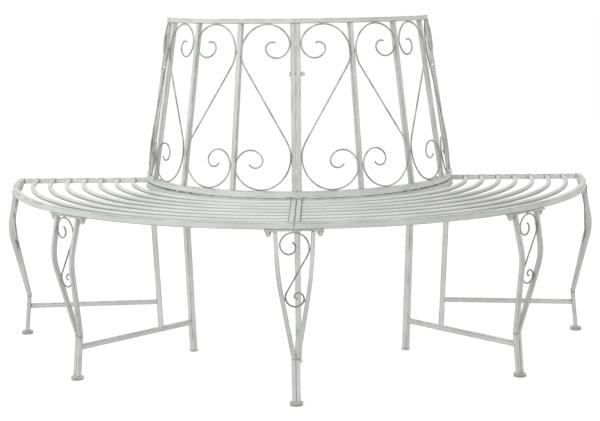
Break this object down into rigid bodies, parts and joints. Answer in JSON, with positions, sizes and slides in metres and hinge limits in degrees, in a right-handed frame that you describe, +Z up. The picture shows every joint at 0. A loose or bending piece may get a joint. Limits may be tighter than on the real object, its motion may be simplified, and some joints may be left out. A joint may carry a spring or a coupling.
{
  "type": "garden bench",
  "caption": "Half-round steel tree bench: slatted seat in two bolted quarters, leaning back with scrolls, curved legs with stretchers, open at the rear to pass round a trunk.",
  "frame": {"origin": "centre of the bench's bounding box, on the floor", "axes": "+Z up, +X to the right as seen from the front, +Y from the front of the seat towards the trunk"},
  "size_m": [1.635, 0.8176, 0.887],
  "materials": {
    "tube_paint": "distressed off-white paint, rubbed dark along the edges, semi-matt",
    "rod_paint": "the same paint, more rubbed, on round rod",
    "hardware": "the same off-white paint, chipped to dull zinc on the corners",
    "plastic": "matt pale grey"
  },
  "bodies": {
    "root": {"left_outer_rim": "tube_paint", "right_outer_rim": "tube_paint", "left_inner_rim": "tube_paint", "right_inner_rim": "tube_paint", "left_rear_bar": "tube_paint", "right_rear_bar": "tube_paint", "left_centre_bar": "tube_paint", "right_centre_bar": "tube_paint", "left_slat_1": "tube_paint", "left_slat_2": "tube_paint", "left_slat_3": "tube_paint", "left_slat_4": "tube_paint", "left_slat_5": "tube_paint", "left_slat_6": "tube_paint", "left_slat_7": "tube_paint", "right_slat_1": "tube_paint", "right_slat_2": "tube_paint", "right_slat_3": "tube_paint", "right_slat_4": "tube_paint", "right_slat_5": "tube_paint", "right_slat_6": "tube_paint", "right_slat_7": "tube_paint", "left_bottom_rail": "tube_paint", "right_bottom_rail": "tube_paint", "left_top_rail": "tube_paint", "right_top_rail": "tube_paint", "left_end_stile": "tube_paint", "right_end_stile": "tube_paint", "left_centre_stile": "tube_paint", "right_centre_stile": "tube_paint", "left_back_bars": "tube_paint", "right_back_bars": "tube_paint", "left_back_scrolls": "rod_paint", "right_back_scrolls": "rod_paint", "front_leg_left_end": "tube_paint", "front_leg_left": "tube_paint", "front_leg_centre": "tube_paint", "front_leg_right": "tube_paint", "front_leg_right_end": "tube_paint", "inner_leg_left_end": "tube_paint", "inner_leg_left": "tube_paint", "inner_leg_centre": "tube_paint", "inner_leg_right": "tube_paint", "inner_leg_right_end": "tube_paint", "stretchers": "tube_paint", "leg_scrolls": "rod_paint", "front_plates": "tube_paint", "inner_plates": "tube_paint", "foot_discs": "tube_paint", "foot_glides": "plastic", "inner_leg_caps": "plastic", "rim_studs": "hardware", "cap_nuts": "hardware", "plate_bolts": "hardware", "rail_inserts": "hardware", "rail_spacers": "hardware", "centre_bolt": "hardware", "centre_nut": "hardware", "tie_bolts": "hardware", "tie_nuts": "hardware"}
  },
  "joints": []
}
